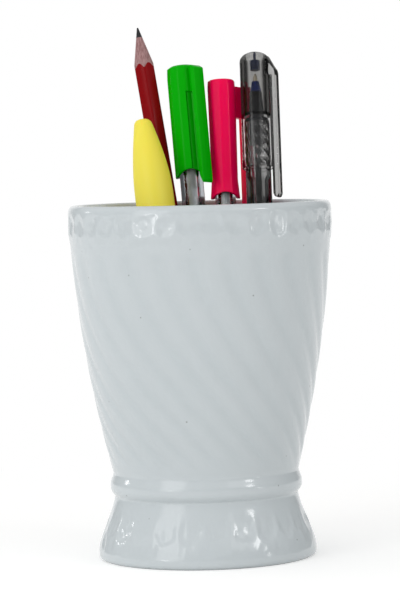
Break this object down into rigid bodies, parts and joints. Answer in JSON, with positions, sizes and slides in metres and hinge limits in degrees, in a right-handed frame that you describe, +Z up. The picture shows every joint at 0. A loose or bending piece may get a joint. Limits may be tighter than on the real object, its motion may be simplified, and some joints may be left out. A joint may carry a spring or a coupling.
{
  "type": "pen holder cup",
  "caption": "Glazed ceramic pen cup with twisted flutes on a flared hollow foot, holding a pencil, a highlighter and capped pens that lift out.",
  "frame": {"origin": "on the table, in the middle of the cup's foot", "axes": "+Z up; the side seen in the picture faces -Y; +X to the right seen from there"},
  "size_m": [0.092, 0.0935, 0.1875],
  "materials": {
    "cup_glaze": "gloss",
    "pencil_lacquer": "gloss",
    "graphite": "satin",
    "green_plastic": "gloss",
    "pink_plastic": "gloss",
    "clear_plastic": "gloss",
    "dark_trim": "gloss",
    "point_brass": "satin",
    "refill_tube": "gloss",
    "green_ink": "gloss",
    "pink_ink": "gloss",
    "smoke_plastic": "gloss",
    "smoke_barrel": "gloss",
    "seal_rubber": "satin",
    "grip_rubber": "matte",
    "gel_nose": "gloss",
    "gel_blue": "gloss",
    "point_steel": "satin",
    "gel_plug": "gloss",
    "gel_ink": "gloss",
    "yellow_plastic": "satin",
    "black_plastic": "satin",
    "nib_felt": "matte",
    "wick_felt": "matte"
  },
  "bodies": {
    "cup": {"cup": "cup_glaze"},
    "pencil": {"pencil_casing": "pencil_lacquer", "pencil_lead": "graphite"},
    "green_pen": {"green_pen_barrel": "clear_plastic", "green_pen_tail_plug": "green_plastic", "green_pen_nose_cone": "dark_trim", "green_pen_point": "point_brass", "green_pen_refill_tube": "refill_tube", "green_pen_refill_ink": "green_ink"},
    "green_cap": {"green_pen_cap": "green_plastic"},
    "pink_pen": {"pink_pen_barrel": "clear_plastic", "pink_pen_tail_plug": "pink_plastic", "pink_pen_nose_cone": "dark_trim", "pink_pen_point": "point_brass", "pink_pen_refill_tube": "refill_tube", "pink_pen_refill_ink": "pink_ink"},
    "pink_cap": {"pink_pen_cap": "pink_plastic"},
    "gel_pen": {"gel_pen_barrel": "smoke_barrel", "gel_pen_grip": "grip_rubber", "gel_pen_nose_cone": "gel_nose", "gel_pen_tip_holder": "gel_blue", "gel_pen_point": "point_steel", "gel_pen_tail_plug": "gel_plug", "gel_pen_refill_tube": "refill_tube", "gel_pen_refill_ink": "gel_ink"},
    "gel_cap": {"gel_pen_cap": "smoke_plastic", "gel_pen_cap_seal": "seal_rubber"},
    "highlighter_cap": {"highlighter_cap": "yellow_plastic"},
    "highlighter": {"highlighter_barrel": "yellow_plastic", "highlighter_section": "black_plastic", "highlighter_nib": "nib_felt", "highlighter_reservoir": "wick_felt"}
  },
  "joints": [
    {"name": "pencil_lift", "type": "slide", "parent": "cup", "child": "pencil", "axis": [-0.1443, 0.1598, 0.9765], "range_m": [0, 0.11]},
    {"name": "green_pen_lift", "type": "slide", "parent": "cup", "child": "green_pen", "axis": [-0.0615, 0.1953, 0.9788], "range_m": [0, 0.11]},
    {"name": "green_cap_pull", "type": "slide", "parent": "green_pen", "child": "green_cap", "axis": [-0.0615, 0.1953, 0.9788], "range_m": [0, 0.045]},
    {"name": "pink_pen_lift", "type": "slide", "parent": "cup", "child": "pink_pen", "axis": [-0.0127, 0.1536, 0.988], "range_m": [0, 0.11]},
    {"name": "pink_cap_pull", "type": "slide", "parent": "pink_pen", "child": "pink_cap", "axis": [-0.0127, 0.1536, 0.988], "range_m": [0, 0.045]},
    {"name": "gel_pen_lift", "type": "slide", "parent": "cup", "child": "gel_pen", "axis": [0, 0, 1], "range_m": [0, 0.11]},
    {"name": "gel_cap_pull", "type": "slide", "parent": "gel_pen", "child": "gel_cap", "axis": [-0.006, 0.2256, 0.9742], "range_m": [0, 0.045]},
    {"name": "highlighter_lift", "type": "slide", "parent": "cup", "child": "highlighter_cap", "axis": [0, 0, 1], "range_m": [0, 0.11]},
    {"name": "highlighter_pull", "type": "slide", "parent": "highlighter_cap", "child": "highlighter", "axis": [-0.0992, 0.2579, 0.9611], "range_m": [0, 0.04]}
  ]
}
